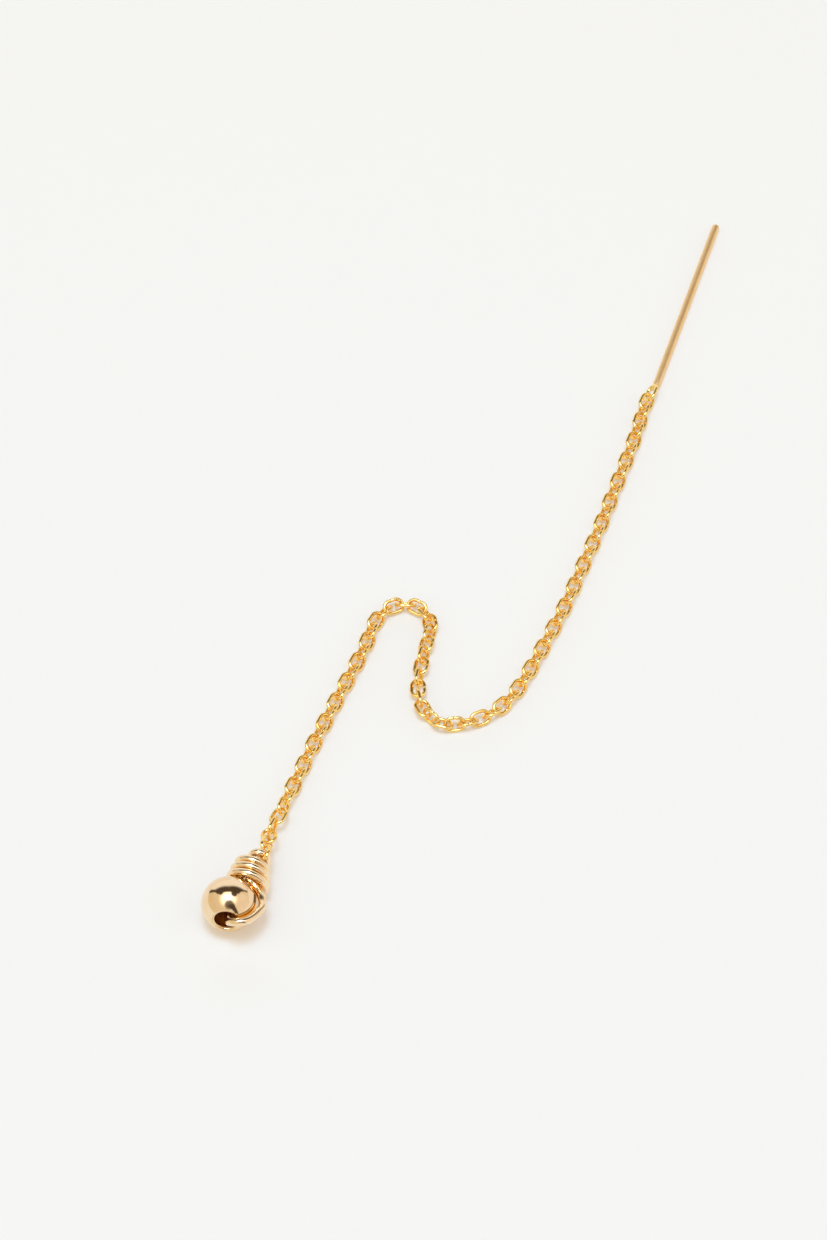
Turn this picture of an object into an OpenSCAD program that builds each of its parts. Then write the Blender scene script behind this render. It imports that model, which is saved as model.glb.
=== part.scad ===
// Threader earring: a straight ear post, a fine cable chain, a wrapped wire loop and a hollow ball bead.
// Millimetres, +Z up. It lies on z = 0, and the origin is under the middle of its box.

/* [Ear post] */
// Diameter of the post's wire
post_d = 0.6; // [0.5:0.05:0.8]
// Length of the post, from its rounded tip to the soldered end link
post_l = 17.6; // [15:0.1:20]
// Length of its foot, where it narrows to the end link
foot_l = 0.5; // [0.4:0.05:0.8]

/* [Chain] */
// Wire diameter of a link
link_wire = 0.28; // [0.24:0.01:0.28]
// Outer width of a link
link_w = 1.24; // [1.2:0.01:1.3]
// Outer length of a link
link_l = 1.72; // [1.7:0.01:1.76]

/* [Wrapped loop] */
// Diameter of the wire that is wound into the coil and bent through the ball
loop_wire = 0.6; // [0.5:0.05:0.6]

/* [Ball bead] */
// Outer diameter of the ball
ball_d = 4; // [3.8:0.1:4]
// Wall of the hollow ball
ball_wall = 0.3; // [0.2:0.05:0.4]
// Diameter of each of its two holes
hole_d = 1.65; // [1.6:0.05:1.9]
// Radius of the rounded edge of each hole
lip_r = 0.175; // [0.15:0.005:0.2]
// Turn of the hole's axis, from straight ahead towards the left
hole_turn = 5; // [0:1:10]
// Tilt of the hole's axis, up at the front
hole_tilt = 15; // [10:1:18]

/* [Hidden] */
$fn = 48;

yellow_gold = [0.86, 0.62, 0.27];
pale_gold = [0.92, 0.80, 0.60];

// Ear post: where its foot ends on the end link, and the way it points
post_foot = [14.24, 16.59, post_d / 2];
post_heading = 71.6;
foot_d = 0.8 * post_d;
shank_l = post_l - post_d / 2 - foot_l;

// Links: each is an oval of 12 short wires with 6 sides
link_steps = 12;
link_sides = 6;
bar_r = (link_w - link_wire) / 2;
bar_half = (link_l - link_w) / 2;
// First and last loose link; link 0 is the one that is soldered to the post
first_link = 1;
last_link = 75;
// Lean of the odd and of the even links from lying flat, before and after the chain's half twist
odd_lean = [27, 132];
even_lean = [-48, 27];
twist_from = 30.5;
twist_to = 45.5;

// The chain's route: link number, then where that link's middle is
route = [
    [0, 13.9, 16.05, 0.5], [1, 13.5, 15.2, 0.5], [5, 12.4, 11.4, 0.5], [9, 11.05, 7.5, 0.5],
    [13, 9.68, 3.55, 0.5], [17, 8.18, -0.4, 0.5], [21, 6.65, -4.3, 0.5], [25, 4.9, -8.05, 0.5],
    [28, 3.55, -10.75, 0.5], [30, 2.5, -12.45, 0.5], [32, 1.1, -13.8, 0.5], [34, -0.75, -14.65, 0.52],
    [36, -2.65, -14.85, 0.56], [37, -3.45, -14.25, 0.6], [38, -4.1, -13.5, 0.63],
    [40, -4.45, -11.7, 0.62], [42, -4.2, -9.65, 0.58], [44, -3.8, -7.65, 0.52], [46, -3.4, -5.75, 0.5],
    [47, -3.9, -4.95, 0.5], [48, -4.45, -4.2, 0.5], [50, -6.3, -4.15, 0.5], [52, -7.65, -5.55, 0.5],
    [54, -8.25, -7.4, 0.5], [56, -9, -9.25, 0.5], [60, -10.6, -12.85, 0.5],
    [64, -12.15, -16.5, 0.5], [67, -13.25, -19.3, 0.52], [70, -14.3, -22.15, 0.82],
    [73, -15.25, -25.05, 1.25]
];
// The last links, which hang from the eye. Each row: link, its middle, turn and rise of its long axis,
// and its lean
hung = [
    [70, -14.27, -22.14, 0.9, -107, 8, 58],
    [71, -14.62, -23.09, 1.05, -113, 7, 163],
    [72, -15.01, -24.04, 1.18, -112, 5, 84],
    [73, -15.27, -24.99, 1.39, -84, 20, 168],
    [74, -15.42, -25.91, 1.74, -104, 25, 55],
    [75, -15.54, -26.83, 2.16, -90, 25, 136]
];

// Ball: its middle
ball_at = [-18, -31, ball_d / 2];
edge_r = hole_d / 2 + lip_r;
edge_out = sqrt(pow(ball_d / 2, 2) - pow(edge_r, 2));
edge_in = sqrt(pow(ball_d / 2 - ball_wall, 2) - pow(edge_r, 2));

// Coil: its middle at the widest turn, seen from the ball's, and the way its axis points
coil_at = [1.3, 1.98, -0.35];
coil_heading = 78;
coil_axis = [cos(coil_heading), sin(coil_heading), 0];
coil_side = [sin(coil_heading), -cos(coil_heading), 0];
// Each row: turn, radius of the wire's middle, way along the axis
coil_rows = [
    [-0.46, 1.34, -0.28], [0, 1.35, 0], [1, 1.24, 0.66], [2, 1.06, 1.3], [2.7, 0.95, 1.76]
];
coil_steps = 16;
// The wire from the small end of the coil, down inside it, round the ball and through it,
// seen from the ball's middle
loop_rows = [
    [2.64, 3.64, -0.36], [2.64, 3.78, -0.06], [2.52, 3.93, 0.2], [2.28, 3.99, 0.39], [1.97, 4.03, 0.42],
    [1.7, 4.05, 0.26], [1.55, 4, 0], [1.52, 3.82, -0.27], [1.53, 3.42, -0.42], [1.45, 2.99, -0.27],
    [1.18, 2.58, -0.02], [1.24, 2.1, 0.15], [1.46, 1.84, 0.23], [1.8, 1.52, 0.06],
    [2.09, 1.07, 0], [2.33, 0.5, 0.12], [2.43, 0, 0.18], [2.38, -0.5, 0.32], [2.15, -0.96, 0.5],
    [1.78, -1.5, 0.7], [1.3, -1.9, 0.88], [0.75, -2.02, 0.92], [0.28, -1.9, 0.68], [0, -1.55, 0.28],
    [-0.02, -1.05, 0.02], [0.1, -0.5, -0.12], [0.25, 0.1, -0.2], [0.37, 0.75, -0.26], [0.47, 1.4, -0.3],
    [0.58, 1.95, -0.34], [0.78, 2.35, -0.52], [1.02, 2.6, -0.8]
];
loop_steps = 3;
loop_sides = 10;

// Vector with a length of one
function unit(v) = v / norm(v);

// Smooth way from p1 to p2, with the speeds v1 and v2 at them, for f from 0 to 1
function hermite(p1, p2, v1, v2, f) =
    p1 * (2 * f * f * f - 3 * f * f + 1) + v1 * (f * f * f - 2 * f * f + f)
    + p2 * (3 * f * f - 2 * f * f * f) + v2 * (f * f * f - f * f);

// Values of a row after its key, and their change for each step of the key
function values(row) = [for (i = [1 : len(row) - 1]) row[i]];
function speed(rows, i) =
    let (a = max(i - 1, 0), b = min(i + 1, len(rows) - 1))
    (values(rows[b]) - values(rows[a])) / (rows[b][0] - rows[a][0]);

// Rows read at any key, on one smooth curve
function read(rows, key, i = 0) =
    i < len(rows) - 2 && key > rows[i + 1][0] ? read(rows, key, i + 1) :
    let (span = rows[i + 1][0] - rows[i][0])
    hermite(values(rows[i]), values(rows[i + 1]), speed(rows, i) * span, speed(rows, i + 1) * span,
        (key - rows[i][0]) / span);

// Lean of link k from lying flat
function ease(f) = let (g = min(max(f, 0), 1)) g * g * (3 - 2 * g);
function lean(k) =
    k >= hung[0][0] ? hung[k - hung[0][0]][6] :
    let (ends = k % 2 == 1 ? odd_lean : even_lean)
    ends[0] + (ends[1] - ends[0]) * ease((k - twist_from) / (twist_to - twist_from));

// Middle of link k, and its axes: along the chain and across the link
function middle(k) =
    k < hung[0][0] ? (read(route, k + 0.5) + read(route, k - 0.5)) / 2 :
    let (row = hung[k - hung[0][0]]) [row[1], row[2], row[3]];
function along(k) =
    k < hung[0][0] ? unit(read(route, k + 0.5) - read(route, k - 0.5)) :
    let (turn = hung[k - hung[0][0]][4], rise = hung[k - hung[0][0]][5])
    [cos(turn) * cos(rise), sin(turn) * cos(rise), sin(rise)];
function across(k) =
    let (t = along(k), left = unit(cross([0, 0, 1], t)), up = cross(t, left))
    left * cos(lean(k)) - up * sin(lean(k));

// Points of link k: an oval ring of round wire
function link_points(k) =
    let (t = along(k), w = across(k), n = cross(t, w))
    [for (i = [0 : link_steps - 1], j = [0 : link_sides - 1])
        let (a = (i + 0.5) * 360 / link_steps, b = j * 360 / link_sides,
            out = t * cos(a) + w * sin(a), bend_r = bar_r / cos(180 / link_steps))
        middle(k) + t * (cos(a) > 0 ? bar_half : -bar_half) + out * (bend_r + cos(b) * link_wire / 2)
            + n * sin(b) * link_wire / 2];

// Two triangles between the corners a, b of one ring of points and c, d of the next
function side_faces(a, b, c, d) = [[a, b, c], [b, d, c]];

// Faces of a closed link whose points start at place at
function link_faces(at) =
    [for (i = [0 : link_steps - 1], j = [0 : link_sides - 1])
        let (i2 = (i + 1) % link_steps, j2 = (j + 1) % link_sides)
        each side_faces(at + i * link_sides + j, at + i * link_sides + j2,
            at + i2 * link_sides + j, at + i2 * link_sides + j2)];

// Middle of the coil's wire after t turns
function coil_point(t) =
    let (r = read(coil_rows, t), turn = 90 + 360 * t)
    coil_at + coil_axis * r[1] + coil_side * r[0] * cos(turn) + [0, 0, r[0] * sin(turn)];

// Middle of the wire: the coil from its wide end to its small end, then the loop
coil_start = coil_rows[0][0];
coil_end = coil_rows[len(coil_rows) - 1][0];
coil_count = round((coil_end - coil_start) * coil_steps);
coil_path = [for (i = [0 : coil_count]) coil_point(coil_start + (coil_end - coil_start) * i / coil_count)];
loop_keys = [for (i = [0 : len(loop_rows)]) concat([i], i == 0 ? coil_path[coil_count] : loop_rows[i - 1])];
loop_path = [for (i = [1 : len(loop_rows) * loop_steps]) read(loop_keys, i / loop_steps)];
wire_path = concat(coil_path, loop_path);

// Way that a path runs at its point i
function heading(path, i) = unit(path[min(i + 1, len(path) - 1)] - path[max(i - 1, 0)]);

// Directions square to the path, each turned no more than the path itself turns
function steady(path, i, last) =
    i >= len(path) ? [] :
    let (t = heading(path, i), n = unit(last - t * (last * t)))
    concat([n], steady(path, i + 1, n));

// Round wire with closed ends along a path
module wire(path, d, sides) {
    normals = steady(path, 0, [0, 0, 1]);
    rings = [for (i = [0 : len(path) - 1], j = [0 : sides - 1])
        let (t = heading(path, i), n = normals[i], b = cross(n, t), a = j * 360 / sides)
        path[i] + (n * cos(a) + b * sin(a)) * d / 2];
    last = (len(path) - 1) * sides;
    walls = [for (i = [0 : len(path) - 2], j = [0 : sides - 1])
        let (j2 = (j + 1) % sides)
        each side_faces(i * sides + j, i * sides + j2, (i + 1) * sides + j, (i + 1) * sides + j2)];
    near_end = [[for (j = [0 : sides - 1]) sides - 1 - j]];
    far_end = [[for (j = [0 : sides - 1]) last + j]];
    polyhedron(rings, concat(near_end, walls, far_end));
}

// The soldered end link: two half rings and two straight sides
module end_link() {
    for (end = [0, 1])
        mirror([end, 0, 0])
            translate([bar_half, 0, 0])
                rotate([0, 0, -90])
                    rotate_extrude(angle = 180)
                        translate([bar_r, 0]) circle(d = link_wire);
    for (side = [-1, 1])
        translate([-bar_half, side * bar_r, 0])
            rotate([0, 90, 0]) cylinder(d = link_wire, h = 2 * bar_half);
}

// Post of round wire with a rounded tip and the end link soldered to its foot
module ear_post() {
    color(pale_gold) {
        translate(post_foot)
            rotate([0, 90, post_heading]) {
                cylinder(d1 = foot_d, d2 = post_d, h = foot_l);
                translate([0, 0, foot_l]) {
                    cylinder(d = post_d, h = shank_l);
                    translate([0, 0, shank_l]) sphere(d = post_d);
                }
            }
        translate(values(route[0]))
            rotate([0, 0, post_heading])
                rotate([even_lean[0], 0, 0]) end_link();
    }
}

// Loose links that pass through each other
module cable_chain() {
    per_link = link_steps * link_sides;
    color(yellow_gold)
        polyhedron(
            [for (k = [first_link : last_link]) each link_points(k)],
            [for (k = [first_link : last_link]) each link_faces((k - first_link) * per_link)]);
}

// Coil that narrows to the eye for the chain, and the loop through the ball, in one wire
module wrapped_loop() {
    color(pale_gold)
        translate(ball_at) wire(wire_path, loop_wire, loop_sides);
}

// Half of the ball's wall, cut through its axis, with its round hole edges
module ball_section() {
    difference() {
        circle(d = ball_d);
        circle(d = ball_d - 2 * ball_wall);
        translate([-ball_d, -ball_d]) square([ball_d + edge_r, 2 * ball_d]);
    }
    for (end = [-1, 1])
        translate([edge_r, end * (edge_out + edge_in) / 2]) circle(r = lip_r);
}

// Hollow ball with a hole right through
module ball_bead() {
    color(pale_gold)
        translate(ball_at)
            rotate([90 - hole_tilt, 0, -hole_turn])
                rotate_extrude() ball_section();
}

ear_post();
cable_chain();
wrapped_loop();
ball_bead();
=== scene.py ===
"""Threader earring on a pale table: ear post, cable chain, wrapped wire loop and hollow ball bead."""

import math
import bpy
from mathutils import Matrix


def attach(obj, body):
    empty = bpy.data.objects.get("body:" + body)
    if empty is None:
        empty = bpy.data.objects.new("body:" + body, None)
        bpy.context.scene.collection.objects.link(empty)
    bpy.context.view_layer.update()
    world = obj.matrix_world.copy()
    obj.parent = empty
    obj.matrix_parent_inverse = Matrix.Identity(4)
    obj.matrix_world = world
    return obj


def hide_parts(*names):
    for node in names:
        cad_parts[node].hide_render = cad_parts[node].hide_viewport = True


bl_info = {
    "name": "Threader Earring",
    "version": (1, 0, 0),
    "blender": (4, 5, 0),
    "location": "3D View > Sidebar > Earring",
    "description": "Builds the smooth metal pieces of a threader earring on its packed solids",
    "category": "Add Mesh",
}

import bpy
import numpy as np
from bpy.props import FloatProperty, FloatVectorProperty, IntProperty, PointerProperty
from mathutils import Vector

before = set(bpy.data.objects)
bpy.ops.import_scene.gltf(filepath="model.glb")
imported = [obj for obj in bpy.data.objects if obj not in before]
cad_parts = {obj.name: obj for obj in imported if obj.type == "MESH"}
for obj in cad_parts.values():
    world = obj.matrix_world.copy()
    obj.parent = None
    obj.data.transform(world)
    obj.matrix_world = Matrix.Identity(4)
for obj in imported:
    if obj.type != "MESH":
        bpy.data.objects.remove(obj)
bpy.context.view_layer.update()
BODY = "root"
MM = 0.001

# Places and lengths below are in millimetres, and angles in degrees.
# Camera: how steeply it looks down, the point it looks at, how far off it stands, and its lens
VIEW_ANGLE = 56.0
VIEW_TARGET = (-4.77, -5.12, 0.0)
VIEW_DISTANCE = 300.0
VIEW_LENS = 115.0
VIEW_SENSOR = 36.0
# Soft lamp overhead: its place and its width. Table: half the length of its side
LAMP_AT = (-24.0, -65.0, 600.0)
LAMP_WIDTH = 200.0
TABLE_REACH = 1200.0

# Post: where its foot ends on the end link, the way it points, and how thin its foot gets
POST_FOOT = (14.24, 16.59, 0.3)
POST_HEADING = 71.6
POST_NARROW = 0.8
# The link soldered to its foot: its middle, and its lean from lying flat
END_LINK_AT = (13.9, 16.05, 0.5)
END_LINK_LEAN = -48.0

# Ball: its middle, and the turn and the tilt of its hole's axis
BALL_AT = (-18.0, -31.0, 2.0)
HOLE_TURN = 5.0
HOLE_TILT = 15.0

# Coil: its middle seen from the ball's, the way its axis points, and for each row
# the turn, the radius and the way along the axis
COIL_AT = (1.3, 1.98, -0.35)
COIL_HEADING = 78.0
COIL_ROWS = [(-0.46, 1.34, -0.28), (0, 1.35, 0), (1, 1.24, 0.66), (2, 1.06, 1.3), (2.7, 0.95, 1.76)]
# The wire after the coil, seen from the ball's middle: the eye, down inside the coil,
# round the ball and through it, and up into the coil
LOOP_ROWS = [
    (2.64, 3.64, -0.36), (2.64, 3.78, -0.06), (2.52, 3.93, 0.2), (2.28, 3.99, 0.39),
    (1.97, 4.03, 0.42), (1.7, 4.05, 0.26), (1.55, 4, 0), (1.52, 3.82, -0.27),
    (1.53, 3.42, -0.42), (1.45, 2.99, -0.27), (1.18, 2.58, -0.02), (1.24, 2.1, 0.15),
    (1.46, 1.84, 0.23), (1.8, 1.52, 0.06), (2.09, 1.07, 0), (2.33, 0.5, 0.12),
    (2.43, 0, 0.18), (2.38, -0.5, 0.32), (2.15, -0.96, 0.5), (1.78, -1.5, 0.7),
    (1.3, -1.9, 0.88), (0.75, -2.02, 0.92), (0.28, -1.9, 0.68), (0, -1.55, 0.28),
    (-0.02, -1.05, 0.02), (0.1, -0.5, -0.12), (0.25, 0.1, -0.2), (0.37, 0.75, -0.26),
    (0.47, 1.4, -0.3), (0.58, 1.95, -0.34), (0.78, 2.35, -0.52), (1.02, 2.6, -0.8),
]
# How finely that curve is read: steps in all of the coil, steps between two rows of the wire
# after it, and rounds of smoothing
COIL_STEPS = 150
ROW_STEPS = 12
SMOOTHINGS = 6

# The chain: the fewest links that it may have, and how deep the line of a soldered joint is,
# as a share of the wire
FEWEST_LINKS = 60
SEAM = 0.1
# How many sides the wires have round them, and how many steps the ball has round its hole's axis,
# along its outline and round each hole's edge
POST_SIDES = 32
END_LINK_SIDES = 14
SOLDER_SIDES = 20
LINK_SIDES = 12
LOOP_SIDES = 24
BALL_AROUND = 128
BALL_ARC = 72
BALL_LIP = 18

# Metals: how fine their clouds, smudges and hairlines are, in waves a metre, and how fine the
# lines of wire drawing are, in waves a millimetre along the wire and in waves round it
CLOUD_SCALE = 900.0
SMUDGE_SCALE = 2600.0
HAIR_SCALE = (9000.0, 60000.0, 60000.0)
DRAWN_SCALE = (0.6, 70.0, 1.0)
# What a metal's colour is multiplied by in its clouds, on the deepest coloured link, and in a gap,
# # where it is painted shade standing in for light bounced between the gold
CLOUD_TONE = (0.93, 0.86, 0.74)
LINK_TONE = (1.0, 0.8, 0.55)
GAP_SHADE_TONE = (1.0, 0.8, 0.22)
# The same for the stains inside the ball, and for the table's grain and the slow drift of its tone
STAIN_SCALE = 1500.0
STAIN_TONE = (0.5, 0.5, 0.5)
GRAIN_SCALE = 1800.0
DRIFT_SCALE = 14.0
GRAIN_TONE = (0.985, 0.985, 0.985)

# The room, as ways that point at things in it: the middle of the ceiling's glow and the two dark
# things beside the lamp, and the colours of its paler walls and of the glow
GLOW_WAY = Vector((0.0, -0.15, 1.0)).normalized()
DARK_RIGHT = Vector((0.372, 0.232, 0.899))
DARK_LEFT = Vector((-0.464, 0.337, 0.819))
PALE_WALL = (0.9, 0.81, 0.72)
GLOW_COLOUR = (1.0, 0.96, 0.9)


# Settings


def length(name, description, default):
    """A length in the panel."""
    return FloatProperty(
        name=name, description=description, default=default, min=0.01 * MM, unit="LENGTH", precision=5
    )


def colour(name, description, default):
    """A colour in the panel."""
    return FloatVectorProperty(
        name=name, description=description, default=default, size=3, min=0, max=1, subtype="COLOR"
    )


class EarPostSettings(bpy.types.PropertyGroup):
    wire: length("Wire", "Diameter of the post's wire", 0.6 * MM)
    span: length("Length", "From the rounded tip to the end of the foot", 17.6 * MM)
    foot: length("Foot", "Length of the foot, where the wire narrows to its end link", 0.5 * MM)
    metal: colour("Metal", "Colour of the post's polished metal", (0.98, 0.69, 0.35))


class ChainSettings(bpy.types.PropertyGroup):
    wire: length("Wire", "Diameter of a link's wire", 0.28 * MM)
    width: length("Width", "Outer width of a link", 1.24 * MM)
    span: length("Length", "Outer length of a link", 1.72 * MM)
    steps: IntProperty(
        name="Steps", description="Steps round each end of a link", default=18, min=6, max=40
    )
    metal: colour("Metal", "Colour of the chain's yellow metal", (1.0, 0.735, 0.27))


class LoopSettings(bpy.types.PropertyGroup):
    wire: length("Wire", "Diameter of the wrapped wire", 0.6 * MM)
    step: length("Step", "Distance between the rings of its mesh", 0.06 * MM)
    metal: colour("Metal", "Colour of the wrapped wire", (0.97, 0.77, 0.52))


class BallSettings(bpy.types.PropertyGroup):
    diameter: length("Diameter", "Outer diameter of the ball", 4.0 * MM)
    wall: length("Wall", "Thickness of the ball's wall", 0.3 * MM)
    hole: length("Hole", "Diameter of its two holes", 1.65 * MM)
    lip: length("Lip", "Radius of the rounded edge of a hole", 0.175 * MM)
    metal: colour("Metal", "Colour of the ball's polished metal", (0.95, 0.74, 0.49))
    inside: colour("Inside", "Colour of the unpolished metal inside", (0.6, 0.22, 0.05))


class StageSettings(bpy.types.PropertyGroup):
    table: colour("Table", "Colour of the table", (0.465, 0.588, 0.63))
    shine: colour("Shine", "Light that comes through the table's top", (0.41, 0.27, 0.185))
    far: colour("Far", "Colour of the table far off, as the metal reflects it", (0.92, 0.92, 0.905))
    room: colour("Room", "Colour of the room that the metal reflects", (0.78, 0.67, 0.48))
    wall: colour("Wall", "Colour of the white screen behind the table", (0.97, 0.96, 0.95))
    lamp: FloatProperty(
        name="Lamp", description="Power of the soft lamp overhead", default=1.75, min=0, unit="POWER"
    )
    cool: colour("Cool", "Colour of the lamp, which is cooler than the room", (0.566, 0.74, 1.0))
    glow: FloatProperty(
        name="Glow", description="How much brighter the ceiling is round the lamp", default=1.3, min=0
    )
    dark: colour("Dark", "Colour of the dark things in the room", (0.08, 0.06, 0.042))
    fill: FloatProperty(
        name="Fill", description="Strength of the light from all round", default=1.0, min=0
    )


# Shader maths


class Link:
    """An output of a node, so that plain sums of such outputs add their Math nodes."""

    def __init__(self, nodes, socket):
        self.nodes = nodes
        self.socket = socket

    def math(self, operation, *terms):
        inputs = dict(enumerate((self,) + terms))
        return self.nodes.add("ShaderNodeMath", {"operation": operation}, inputs)

    def __add__(self, other):
        return self.math("ADD", other)

    def __sub__(self, other):
        return self.math("SUBTRACT", other)

    def __rsub__(self, other):
        return self.nodes.add("ShaderNodeMath", {"operation": "SUBTRACT"}, {0: other, 1: self})

    def __mul__(self, other):
        return self.math("MULTIPLY", other)

    def __neg__(self):
        return self * -1.0

    __radd__ = __add__
    __rmul__ = __mul__

    def __abs__(self):
        return self.math("ABSOLUTE")

    def within(self, low, high):
        """0 below low, 1 above high, and a soft step between them."""
        return self.nodes.add(
            "ShaderNodeMapRange",
            {"interpolation_type": "SMOOTHSTEP"},
            {"Value": self, "From Min": low, "From Max": high},
        )


class Nodes:
    """The nodes of one material or world."""

    def __init__(self, tree):
        self.tree = tree
        tree.nodes.clear()

    def add(self, kind, settings=None, inputs=None, output=0):
        """One node: its settings come first, then the values or links of its sockets."""
        node = self.tree.nodes.new(kind)
        for name, value in (settings or {}).items():
            setattr(node, name, value)
        for name, value in (inputs or {}).items():
            if isinstance(value, Link):
                self.tree.links.new(value.socket, node.inputs[name])
            else:
                node.inputs[name].default_value = value
        return Link(self, node.outputs[output]) if node.outputs else None

    def mix(self, factor, first, second):
        """A colour between two others."""
        first, second = (c if isinstance(c, Link) else (*c, 1.0) for c in (first, second))
        inputs = {0: factor, 6: first, 7: second}
        return self.add("ShaderNodeMix", {"data_type": "RGBA"}, inputs, output=2)

    def noise(self, place, scale, detail=2.0, roughness=0.5):
        """Noise between 0 and 1."""
        return self.add(
            "ShaderNodeTexNoise",
            {"noise_dimensions": "3D"},
            {"Vector": place, "Scale": scale, "Detail": detail, "Roughness": roughness},
        )

    def stretch(self, place, scales):
        """Coordinates with each axis scaled by its own number."""
        return self.add("ShaderNodeVectorMath", {"operation": "MULTIPLY"}, {0: place, 1: scales})

    def bump(self, height, strength, depth):
        """Relief of a surface, depth millimetres deep."""
        inputs = {"Strength": strength, "Distance": depth * MM, "Height": height}
        return self.add("ShaderNodeBump", {}, inputs)


def new_material(name):
    """A new material and its nodes."""
    material = bpy.data.materials.new(name)
    material.use_nodes = True
    return material, Nodes(material.node_tree)


def toned(base, tone):
    """A colour multiplied by another."""
    return tuple(c * f for c, f in zip(base, tone))


# Materials


def polished_metal(name, metal, polish, drawn=0.0, tint=0.0, gap=0.5, own_gaps=False, lacquer=0.0):
    """Polished gold-coloured metal: cloudy tone, fine hairlines, smudged polish and painted shade in
    gaps.

    polish is its roughness, drawn how strongly the lines of wire drawing show along a wire, and tint
    how much links differ. Where metal faces metal closer than gap, in millimetres, its colour is
    painted deeper and warmer: painted shade in place of the light that bounces between the gold.
    own_gaps counts only what the piece itself has near. lacquer is how much of a clear, harder
    shine lies on top.
    """
    material, n = new_material(name)
    place = n.add("ShaderNodeTexCoord", output=3)
    along = n.add("ShaderNodeTexCoord", output=2)
    cloud = n.noise(place, CLOUD_SCALE, detail=3.0)
    smudge = n.noise(place, SMUDGE_SCALE, detail=4.0, roughness=0.65)
    hair = n.noise(n.stretch(place, HAIR_SCALE), 1.0, detail=1.0)
    lines = n.noise(n.stretch(along, DRAWN_SCALE), 1.0, detail=2.0)

    shade = n.mix(cloud.within(0.35, 0.7) * 0.55, metal, toned(metal, CLOUD_TONE))
    if tint:
        own = n.add("ShaderNodeAttribute", {"attribute_name": "link_tint"}, output=2)
        shade = n.mix(own * tint, shade, toned(metal, LINK_TONE))
    # Painted shade: deeper, warmer colour where other metal is near, in place of light bounced between
    # the gold
    open_sky = n.add(
        "ShaderNodeAmbientOcclusion",
        {"samples": 8, "only_local": own_gaps},
        {"Distance": gap * MM},
        output=1,
    )
    painted_gap_shade = (1 - open_sky).within(0.1, 0.8) * 0.9
    shade = n.mix(painted_gap_shade, shade, toned(metal, GAP_SHADE_TONE))
    rough = polish + smudge.within(0.45, 0.8) * 0.06 + lines.within(0.5, 0.9) * (0.1 * drawn)
    bump = n.bump(hair * 0.35 + lines * drawn, strength=0.12, depth=0.004)
    surface = n.add(
        "ShaderNodeBsdfPrincipled",
        {},
        {
            "Base Color": shade,
            "Metallic": 1.0,
            "Roughness": rough,
            "Coat Weight": lacquer,
            "Coat Roughness": 0.08,
            "Normal": bump,
        },
    )
    n.add("ShaderNodeOutputMaterial", {}, {"Surface": surface})
    return material


def raw_metal(name, metal):
    """Unpolished metal inside the ball: dull, brown and uneven."""
    material, n = new_material(name)
    place = n.add("ShaderNodeTexCoord", output=3)
    stain = n.noise(place, STAIN_SCALE, detail=5.0, roughness=0.6)
    shade = n.mix(stain.within(0.3, 0.7), metal, toned(metal, STAIN_TONE))
    bump = n.bump(stain, strength=0.4, depth=0.01)
    surface = n.add(
        "ShaderNodeBsdfPrincipled",
        {},
        {"Base Color": shade, "Metallic": 1.0, "Roughness": 0.32 + stain * 0.2, "Normal": bump},
    )
    n.add("ShaderNodeOutputMaterial", {}, {"Surface": surface})
    return material


def table_top(name, tone, shine):
    """Matt translucent board with a very faint grain, lit a little from below."""
    material, n = new_material(name)
    place = n.add("ShaderNodeTexCoord", output=3)
    grain = n.noise(place, GRAIN_SCALE, detail=4.0, roughness=0.6)
    drift = n.noise(place, DRIFT_SCALE, detail=2.0)
    shade = n.mix(grain * 0.25 + drift * 0.25, tone, toned(tone, GRAIN_TONE))
    bump = n.bump(grain, strength=0.15, depth=0.01)
    surface = n.add(
        "ShaderNodeBsdfPrincipled",
        {},
        {
            "Base Color": shade,
            "Roughness": 0.75,
            "Specular IOR Level": 0.2,
            "Emission Color": (*shine, 1.0),
            "Emission Strength": 1.0,
            "Normal": bump,
        },
    )
    n.add("ShaderNodeOutputMaterial", {}, {"Surface": surface})
    return material


# Meshes


def mesh_object(name, points, faces, materials, uvs=None, indices=None):
    """A smooth-shaded object on the earring's body.

    uvs has one pair for each corner of each face, and indices the number of each face's material.
    """
    mesh = bpy.data.meshes.new(name)
    mesh.from_pydata([tuple(p) for p in points], [], faces)
    if uvs is not None:
        layer = mesh.uv_layers.new(name="Wire")
        layer.data.foreach_set("uv", np.array(uvs, np.float32).ravel())
    for material in materials:
        mesh.materials.append(material)
    if indices is not None:
        mesh.polygons.foreach_set("material_index", indices)
    mesh.shade_smooth()
    mesh.validate()
    piece = bpy.data.objects.new(name, mesh)
    bpy.context.scene.collection.objects.link(piece)
    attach(piece, BODY)
    return piece


class Shape:
    """Points and faces of a piece while it is being made."""

    def __init__(self):
        self.points = []
        self.faces = []
        self.uvs = []

    def rings(self, rings, sides, spans, closed=False):
        """Skin over rings of points. spans is how far along the wire each is, in millimetres.

        Seen the way the wire runs, a ring's points go anticlockwise, so that the faces look outward.
        """
        at = len(self.points)
        for ring in rings:
            self.points.extend(ring)
        count = len(rings)
        for i in range(count if closed else count - 1):
            near = at + i * sides
            far = at + (i + 1) % count * sides
            u1, u2 = spans[i], spans[i + 1]
            for j in range(sides):
                j2 = (j + 1) % sides
                self.faces.append((near + j, far + j, far + j2, near + j2))
                v1, v2 = j / sides, (j + 1) / sides
                self.uvs.extend(((u1, v1), (u2, v1), (u2, v2), (u1, v2)))
        if not closed:
            self.faces.append(tuple(at + j for j in range(sides)))
            self.uvs.extend((spans[0], j / sides) for j in range(sides))
            last = at + (count - 1) * sides
            self.faces.append(tuple(last + sides - 1 - j for j in range(sides)))
            self.uvs.extend((spans[-1], j / sides) for j in range(sides))


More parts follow.
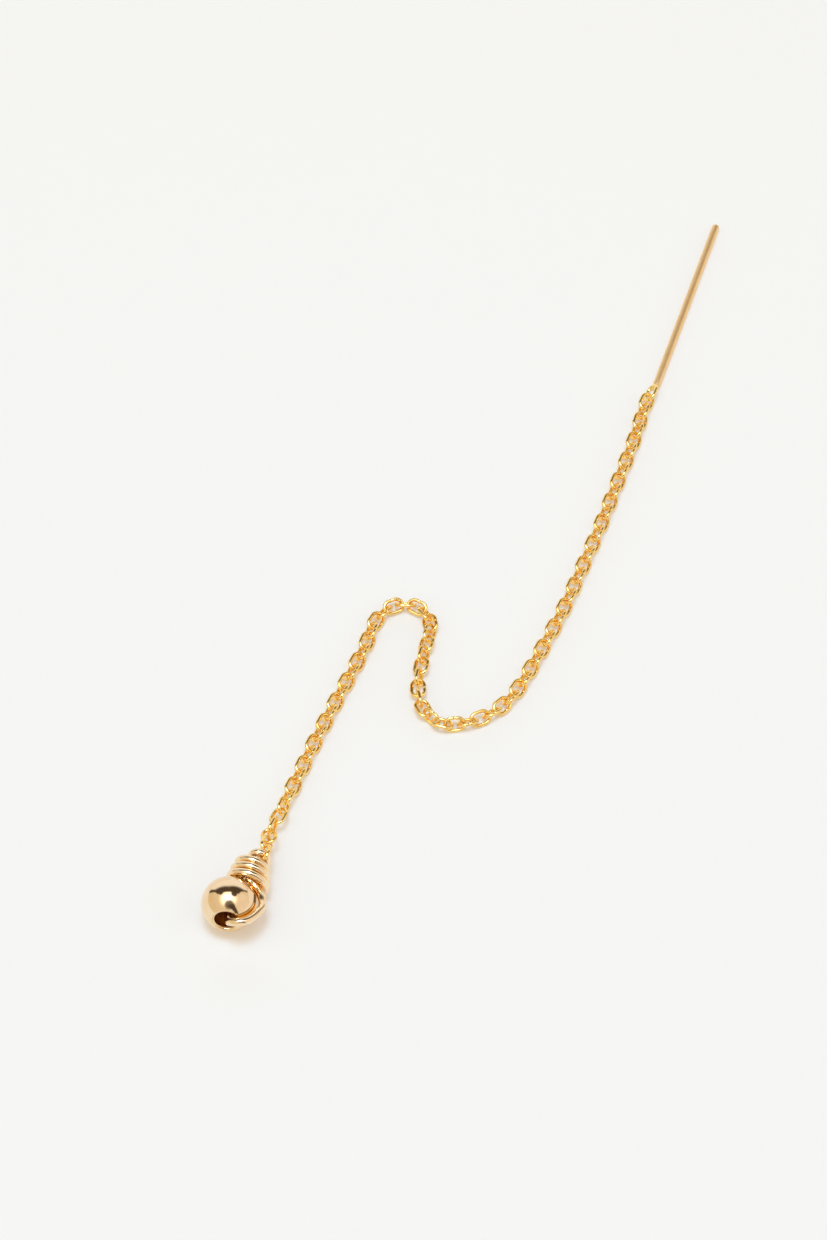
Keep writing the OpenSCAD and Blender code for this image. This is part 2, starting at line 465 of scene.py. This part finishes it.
def ring_points(middle, out, side, radius, sides):
    """Points round a wire. out and side are two square directions across it."""
    turns = [math.tau * j / sides for j in range(sides)]
    return [middle + (out * math.cos(a) + side * math.sin(a)) * radius for a in turns]


def bent_wire(shape, path, radius, sides, round_ends, foot=0.0, narrow=1.0):
    """Round wire along a path.

    round_ends is how far from each end it starts to close, as a share of the radius. Over its last
    stretch, as long as foot, the wire thins down to narrow times its thickness.
    """
    steps = [(b - a).length for a, b in zip(path, path[1:])]
    spans = [0.0]
    for step in steps:
        spans.append(spans[-1] + step / MM)
    total = spans[-1]
    normal = Vector((0, 0, 1))
    rings = []
    for i, point in enumerate(path):
        ahead = (path[min(i + 1, len(path) - 1)] - path[max(i - 1, 0)]).normalized()
        normal = (normal - ahead * normal.dot(ahead)).normalized()
        side = normal.cross(ahead)
        gap = min(spans[i], total - spans[i]) * MM / (radius * round_ends)
        size = radius * (math.sqrt(1 - (1 - gap) ** 2) if gap < 1 else 1.0)
        # The end rings stay open, so that the faces that close them have an area
        size = max(size, radius * (1 - round_ends) if round_ends < 1 else radius * 0.02)
        if foot and total - spans[i] < foot / MM:
            size *= 1 - (1 - narrow) * (1 - (total - spans[i]) * MM / foot)
        rings.append(ring_points(point, normal, side, size, sides))
    shape.rings(rings, sides, spans)


def oval_link(shape, middle, ahead, across, settings, sides, seam):
    """Closed oval link of round wire. seam is the depth of its joint, as a share of the wire."""
    wire, width, span, steps = settings.wire, settings.width, settings.span, settings.steps
    square = ahead.cross(across)
    bend = (width - wire) / 2
    half = (span - width) / 2
    track = []
    for end, start in ((1, -90.0), (-1, 90.0)):
        for i in range(steps + 1):
            a = math.radians(start + 180.0 * i / steps)
            out = ahead * math.cos(a) + across * math.sin(a)
            track.append((middle + ahead * (half * end) + out * bend, out))
        # Places along the straight side, as shares of it: closer together at the soldered joint
        if half > 0:
            for f in (1 / 3, 2 / 3) if end < 0 else (0.25, 0.44, 0.5, 0.56, 0.75):
                base = middle + ahead * (half * (1 - 2 * f) * end) + across * (bend * end)
                track.append((base, across * end))
    total = math.pi * bend * 2 + half * 4
    count = len(track)
    spans = [total * i / count / MM for i in range(count + 1)]
    # The joint's line is the middle one of the five places on its straight side
    groove = steps + 3
    rings = []
    for i, (point, out) in enumerate(track):
        size = wire / 2 * (1 - (seam if i == groove else 0.0))
        rings.append(ring_points(point, out, square, size, sides))
    shape.rings(rings, sides, spans, closed=True)


def hermite(p1, p2, v1, v2, f):
    """Smooth way from p1 to p2 with the speeds v1 and v2 at them."""
    g, h = f * f, f * f * f
    return p1 * (2 * h - 3 * g + 1) + v1 * (h - 2 * g + f) + p2 * (3 * g - 2 * h) + v2 * (h - g)


def read(rows, key):
    """Rows of a key and a vector, read at any key on one smooth curve."""

    def speed(i):
        a, b = max(i - 1, 0), min(i + 1, len(rows) - 1)
        return (rows[b][1] - rows[a][1]) / (rows[b][0] - rows[a][0])

    i = 0
    while i < len(rows) - 2 and key > rows[i + 1][0]:
        i += 1
    (start, first), (end, second) = rows[i], rows[i + 1]
    span = end - start
    return hermite(first, second, speed(i) * span, speed(i + 1) * span, (key - start) / span)


def wrapped_path(step):
    """Evenly spaced middle of the wrapped wire, from the coil's wide end to its end inside the coil.

    Seen from the ball's middle, in millimetres.
    """
    heading = math.radians(COIL_HEADING)
    axis = Vector((math.cos(heading), math.sin(heading), 0))
    side = Vector((math.sin(heading), -math.cos(heading), 0))
    rows = [(t, Vector((r, s))) for t, r, s in COIL_ROWS]
    first, last = rows[0][0], rows[-1][0]
    path = []
    for i in range(COIL_STEPS + 1):
        t = first + (last - first) * i / COIL_STEPS
        radius, along = read(rows, t)
        turn = math.radians(90 + 360 * t)
        across = side * (radius * math.cos(turn)) + Vector((0, 0, radius * math.sin(turn)))
        path.append(Vector(COIL_AT) + axis * along + across)
    keys = [(0, path[-1])] + [(i + 1, Vector(p)) for i, p in enumerate(LOOP_ROWS)]
    path += [read(keys, i / ROW_STEPS) for i in range(1, len(LOOP_ROWS) * ROW_STEPS + 1)]

    reach = [0.0]
    for a, b in zip(path, path[1:]):
        reach.append(reach[-1] + (b - a).length)
    count = round(reach[-1] * MM / step)
    even = []
    i = 0
    for k in range(count + 1):
        want = reach[-1] * k / count
        while i < len(reach) - 2 and reach[i + 1] < want:
            i += 1
        even.append(path[i].lerp(path[i + 1], (want - reach[i]) / (reach[i + 1] - reach[i])))
    for _ in range(SMOOTHINGS):
        inner = [(a + b * 2 + c) / 4 for a, b, c in zip(even, even[1:], even[2:])]
        even = [even[0], *inner, even[-1]]
    return even


def link_places():
    """Middle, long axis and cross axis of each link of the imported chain, in order along it."""
    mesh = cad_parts["cable_chain"].data
    spots = np.array([tuple(v.co) for v in mesh.vertices])
    # Corners that share a place, to a ten-thousandth of a millimetre, are one point
    steps_a_metre = 1e7
    spots = np.round(spots * steps_a_metre).astype(np.int64)
    keys, owner = np.unique(spots, axis=0, return_inverse=True)
    owner = owner.ravel()
    group = list(range(len(keys)))

    def root(i):
        while group[i] != i:
            group[i] = group[group[i]]
            i = group[i]
        return i

    for face in mesh.polygons:
        corners = [root(owner[v]) for v in face.vertices]
        for other in corners[1:]:
            group[root(other)] = root(corners[0])
    members = {}
    for i in range(len(keys)):
        members.setdefault(root(i), []).append(i)
    places = []
    for ids in members.values():
        cloud = keys[ids] / steps_a_metre
        centre = cloud.mean(axis=0)
        axes = np.linalg.eigh(np.cov((cloud - centre).T))[1]
        places.append((Vector(centre), Vector(axes[:, 2]), Vector(axes[:, 1])))
    if len(places) < FEWEST_LINKS:
        raise RuntimeError("the packed chain has too few links")
    ordered = [max(places, key=lambda p: p[0].y)]
    left = [p for p in places if p is not ordered[0]]
    while left:
        nearest = min(left, key=lambda p: (p[0] - ordered[-1][0]).length)
        left.remove(nearest)
        ordered.append(nearest)
    return ordered


# Operators


class EARRING_OT_stage(bpy.types.Operator):
    """Add the table, the lamp, the room that the metal reflects, and the camera"""

    bl_idname = "earring.stage"
    bl_label = "Stage"

    def execute(self, context):
        settings = context.scene.earring_stage
        self.table(context.scene, settings)
        self.lamp(context.scene, settings)
        self.camera(context.scene)
        self.room(context.scene, settings)
        context.scene.view_settings.view_transform = "Standard"
        return {"FINISHED"}

    def table(self, scene, settings):
        """Square white board with its top at height 0."""
        reach = TABLE_REACH * MM
        corners = [(-reach, -reach, 0), (reach, -reach, 0), (reach, reach, 0), (-reach, reach, 0)]
        mesh = bpy.data.meshes.new("table")
        mesh.from_pydata(corners, [], [(0, 1, 2, 3)])
        board = table_top("white_board", tuple(settings.table), tuple(settings.shine))
        mesh.materials.append(board)
        table = bpy.data.objects.new("table", mesh)
        scene.collection.objects.link(table)

    def lamp(self, scene, settings):
        """Round soft lamp that shines at the middle of the table."""
        light = bpy.data.lights.new("soft_lamp", "AREA")
        light.shape = "DISK"
        light.size = LAMP_WIDTH * MM
        light.energy = settings.lamp
        light.color = settings.cool
        lamp = bpy.data.objects.new("soft_lamp", light)
        lamp.location = Vector(LAMP_AT) * MM
        lamp.rotation_euler = (-lamp.location).to_track_quat("-Z", "Y").to_euler()
        scene.collection.objects.link(lamp)

    def camera(self, scene):
        """Camera that looks down at the earring, straight along +Y."""
        camera = bpy.data.cameras.new("camera")
        camera.lens = VIEW_LENS
        camera.sensor_width = VIEW_SENSOR
        camera.clip_start = 10 * MM
        eye = bpy.data.objects.new("camera", camera)
        angle = math.radians(VIEW_ANGLE)
        back = Vector((0, -math.cos(angle), math.sin(angle)))
        eye.location = Vector(VIEW_TARGET) * MM + back * (VIEW_DISTANCE * MM)
        eye.rotation_euler = (math.pi / 2 - angle, 0, 0)
        scene.collection.objects.link(eye)
        scene.camera = eye

    def room(self, scene, settings):
        """Light from all round, which the metal reflects.

        A warm room whose walls are paler to the right and high up, a ceiling that glows round the
        lamp, a dark far end with a white screen in front of it, and in front, to the right, a dark
        upright with a dim patch above it.
        """
        world = bpy.data.worlds.new("room")
        scene.world = world
        world.use_nodes = True
        n = Nodes(world.node_tree)
        way = n.add("ShaderNodeTexCoord", output=0)
        x, y, z = (n.add("ShaderNodeSeparateXYZ", {}, {0: way}, output=i) for i in range(3))
        dark = tuple(settings.dark)

        def toward(spot):
            """1 at a spot of the room, and less away from it."""
            return x * spot.x + y * spot.y + z * spot.z

        # Walls and ceiling
        pale = ((x - y * 0.6).within(0.3, 0.95) + z.within(0.3, 0.6) * 0.45).within(0.0, 1.2)
        shade = n.mix(pale, tuple(settings.room), PALE_WALL)
        glow = toward(GLOW_WAY).within(0.66, 0.99)
        glow = glow * glow
        brighter = {0: n.mix(glow, shade, GLOW_COLOUR), "Scale": 1 + glow * settings.glow}
        shade = n.add("ShaderNodeVectorMath", {"operation": "SCALE"}, brighter)

        # Dark far end of the room, wider high up, and two dark things beside the lamp
        spread = 0.63 - z.within(0.5, 0.9) * 0.42
        behind = (y - x * 0.05 - abs(x) * spread).within(-0.04, 0.05)
        behind = behind * (y * 2.7 - z).within(-0.08, 0.1)
        right = toward(DARK_RIGHT).within(0.972, 0.99)
        left = toward(DARK_LEFT).within(0.982, 0.993)
        shade = n.mix((behind + right + left).within(0.0, 1.0), shade, dark)

        # White screen in front of the far end, lower at its sides
        screen = (y * 0.87 - z - abs(x) * 0.335 - x * 0.115).within(-0.2, 0.14)
        screen = screen * (y * 1.2 - abs(x)).within(-0.08, 0.1)
        shade = n.mix(screen, shade, tuple(settings.wall))

        # Dark upright through two spots in front, wider high up, and the dim patch above it
        side = self.way(turn=35, height=4).cross(self.way(turn=24, height=50)).normalized()
        upright = (0.06 + z * 0.15 - abs(toward(side))).within(-0.06, 0.05)
        upright = upright * (0.79 - z).within(-0.05, 0.07) * (-y).within(0.05, 0.2)
        patch = toward(self.way(turn=8, height=57)).within(0.89, 0.985) * 0.85
        shade = n.mix((upright + patch).within(0.0, 1.0), shade, dark)

        # The table goes on below the horizon
        shade = n.mix((-z).within(-0.01, 0.01), shade, tuple(settings.far))
        surface = n.add("ShaderNodeBackground", {}, {"Color": shade, "Strength": settings.fill})
        n.add("ShaderNodeOutputWorld", {}, {"Surface": surface})

    @staticmethod
    def way(turn, height):
        """Way to the front, turned to the right and raised, both in degrees."""
        turn, height = math.radians(turn), math.radians(height)
        flat = math.cos(height)
        return Vector((math.sin(turn) * flat, -math.cos(turn) * flat, math.sin(height)))


class EARRING_OT_post(bpy.types.Operator):
    """Add the ear post with its rounded tip and its soldered end link"""

    bl_idname = "earring.post"
    bl_label = "Ear Post"

    def execute(self, context):
        settings = context.scene.earring_post
        chain = context.scene.earring_chain
        heading = math.radians(POST_HEADING)
        ahead = Vector((math.cos(heading), math.sin(heading), 0))
        radius = settings.wire / 2
        tip = Vector(POST_FOOT) * MM + ahead * settings.span
        shape = Shape()
        # Close rings at both rounded ends, and wide ones between them
        close, wide = 8, 24
        ends = [1 - math.cos(math.pi / 2 * i / close) for i in range(close + 1)]
        stops = [e * radius for e in ends]
        stops += [radius + (settings.span - 2 * radius) * i / wide for i in range(1, wide)]
        stops += [settings.span - e * radius for e in reversed(ends)]
        path = [tip - ahead * s for s in stops]
        bent_wire(shape, path, radius, POST_SIDES, 1.0, settings.foot, POST_NARROW)
        plain = len(shape.faces)

        lean = math.radians(END_LINK_LEAN)
        left = Vector((-ahead.y, ahead.x, 0))
        across = left * math.cos(lean) + Vector((0, 0, 1)) * math.sin(lean)
        middle = Vector(END_LINK_AT) * MM
        oval_link(shape, middle, ahead, across, chain, END_LINK_SIDES, seam=0.0)
        # Drop of solder, thinner than the post, from inside its foot to just past the link's end
        foot = tip - ahead * (settings.span - radius * 0.9)
        crown = middle + ahead * (chain.span / 2 - chain.wire / 2)
        path = [foot.lerp(crown, i / 10) for i in range(-4, 13)]
        bent_wire(shape, path, radius * 0.78, SOLDER_SIDES, round_ends=1.0)

        metals = [
            polished_metal(
                "post_metal", tuple(settings.metal), polish=0.4, drawn=0.5, own_gaps=True
            ),
            polished_metal(
                "end_link_metal", tuple(chain.metal), polish=0.2, drawn=0.25, own_gaps=True, lacquer=0.2
            ),
        ]
        indices = [0] * plain + [1] * (len(shape.faces) - plain)
        post = mesh_object("ear_post_wire", shape.points, shape.faces, metals, shape.uvs, indices)
        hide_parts("ear_post")
        return {"FINISHED"}


class EARRING_OT_chain(bpy.types.Operator):
    """Add the chain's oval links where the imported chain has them"""

    bl_idname = "earring.chain"
    bl_label = "Cable Chain"

    def execute(self, context):
        settings = context.scene.earring_chain
        shape = Shape()
        tints = []
        for i, (middle, ahead, across) in enumerate(link_places()):
            start = len(shape.points)
            oval_link(shape, middle, ahead, across, settings, LINK_SIDES, SEAM)
            # Steps of 0.618 spread the links' tints evenly, with unlike ones side by side
            tints += [(i * 0.618) % 1.0] * (len(shape.points) - start)
        metal = polished_metal(
            "chain_metal",
            tuple(settings.metal),
            polish=0.2,
            drawn=0.25,
            tint=0.5,
            own_gaps=True,
            lacquer=0.2,
        )
        chain = mesh_object("cable_chain_links", shape.points, shape.faces, [metal], shape.uvs)
        tint = chain.data.attributes.new("link_tint", "FLOAT", "POINT")
        tint.data.foreach_set("value", tints)
        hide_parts("cable_chain")
        return {"FINISHED"}


class EARRING_OT_loop(bpy.types.Operator):
    """Add the wire that is wound into the coil and bent through the ball"""

    bl_idname = "earring.loop"
    bl_label = "Wrapped Loop"

    def execute(self, context):
        settings = context.scene.earring_loop
        ball = Vector(BALL_AT) * MM
        path = [ball + p * MM for p in wrapped_path(settings.step)]
        shape = Shape()
        bent_wire(shape, path, settings.wire / 2, LOOP_SIDES, round_ends=0.25)
        metal = polished_metal(
            "loop_metal", tuple(settings.metal), polish=0.16, drawn=0.35, gap=0.3
        )
        loop = mesh_object("wrapped_wire", shape.points, shape.faces, [metal], shape.uvs)
        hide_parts("wrapped_loop")
        return {"FINISHED"}


class EARRING_OT_ball(bpy.types.Operator):
    """Add the hollow ball with its two rounded holes"""

    bl_idname = "earring.ball"
    bl_label = "Ball Bead"

    def execute(self, context):
        settings = context.scene.earring_ball
        outer = settings.diameter / 2
        inner = outer - settings.wall
        edge = settings.hole / 2 + settings.lip
        high_out = math.sqrt(outer**2 - edge**2)
        high_in = math.sqrt(inner**2 - edge**2)
        level = (high_out + high_in) / 2
        # Outline of the wall as radius, height and material, from the front hole over the outside
        # to the back hole, and back along the inside
        open_out = math.atan2(edge, high_out)
        open_in = math.atan2(edge, high_in)
        turns = [-math.pi / 2 - math.pi * i / BALL_LIP for i in range(1, BALL_LIP)]
        lip = [(edge + settings.lip * math.cos(a), settings.lip * math.sin(a)) for a in turns]
        outline = []
        for i in range(BALL_ARC + 1):
            a = open_out + (math.pi - 2 * open_out) * i / BALL_ARC
            outline.append((outer * math.sin(a), outer * math.cos(a), 0))
        outline += [(r, -level + h, 0) for r, h in lip]
        arc = BALL_ARC // 2
        for i in range(arc + 1):
            a = math.pi - open_in - (math.pi - 2 * open_in) * i / arc
            outline.append((inner * math.sin(a), inner * math.cos(a), 1))
        outline += [(r, level - h, 0) for r, h in lip]

        turn, tilt = math.radians(HOLE_TURN), math.radians(HOLE_TILT)
        flat = math.cos(tilt)
        axis = Vector((-math.sin(turn) * flat, -math.cos(turn) * flat, math.sin(tilt)))
        side = axis.cross(Vector((0, 0, 1))).normalized()
        up = side.cross(axis)
        middle = Vector(BALL_AT) * MM
        points = []
        for i in range(BALL_AROUND):
            b = math.tau * i / BALL_AROUND
            out = side * math.cos(b) + up * math.sin(b)
            points.extend(middle + out * r + axis * h for r, h, _ in outline)
        count = len(outline)
        faces = []
        indices = []
        for i in range(BALL_AROUND):
            a, b = i * count, (i + 1) % BALL_AROUND * count
            for j in range(count):
                k = (j + 1) % count
                faces.append((a + j, b + j, b + k, a + k))
                indices.append(1 if outline[j][2] and outline[k][2] else 0)
        metal = polished_metal("ball_metal", tuple(settings.metal), polish=0.1, gap=0.35)
        inside = raw_metal("ball_inside", tuple(settings.inside))
        ball = mesh_object("ball_shell", points, faces, [metal, inside], indices=indices)
        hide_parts("ball_bead")
        return {"FINISHED"}


class EARRING_PT_panel(bpy.types.Panel):
    """Buttons and sizes of the earring"""

    bl_idname = "EARRING_PT_panel"
    bl_label = "Threader Earring"
    bl_space_type = "VIEW_3D"
    bl_region_type = "UI"
    bl_category = "Earring"

    def draw(self, context):
        for operator, settings in STEPS:
            box = self.layout.box()
            box.operator(operator)
            group = getattr(context.scene, settings)
            for name in group.__annotations__:
                box.prop(group, name)


STEPS = [
    ("earring.stage", "earring_stage"),
    ("earring.post", "earring_post"),
    ("earring.chain", "earring_chain"),
    ("earring.loop", "earring_loop"),
    ("earring.ball", "earring_ball"),
]
SETTINGS = {
    "earring_stage": StageSettings,
    "earring_post": EarPostSettings,
    "earring_chain": ChainSettings,
    "earring_loop": LoopSettings,
    "earring_ball": BallSettings,
}
CLASSES = [
    EARRING_OT_stage,
    EARRING_OT_post,
    EARRING_OT_chain,
    EARRING_OT_loop,
    EARRING_OT_ball,
    EARRING_PT_panel,
]


def register():
    """Add the settings, the operators and the panel to Blender."""
    for name, group in SETTINGS.items():
        bpy.utils.register_class(group)
        setattr(bpy.types.Scene, name, PointerProperty(type=group))
    for entry in CLASSES:
        bpy.utils.register_class(entry)


def unregister():
    """Take them out again."""
    for entry in reversed(CLASSES):
        bpy.utils.unregister_class(entry)
    for name, group in SETTINGS.items():
        delattr(bpy.types.Scene, name)
        bpy.utils.unregister_class(group)


def main():
    """Build the stage and the earring."""
    register()
    bpy.ops.earring.stage()
    bpy.ops.earring.post()
    bpy.ops.earring.chain()
    bpy.ops.earring.loop()
    bpy.ops.earring.ball()


if __name__ == "__main__":
    main()
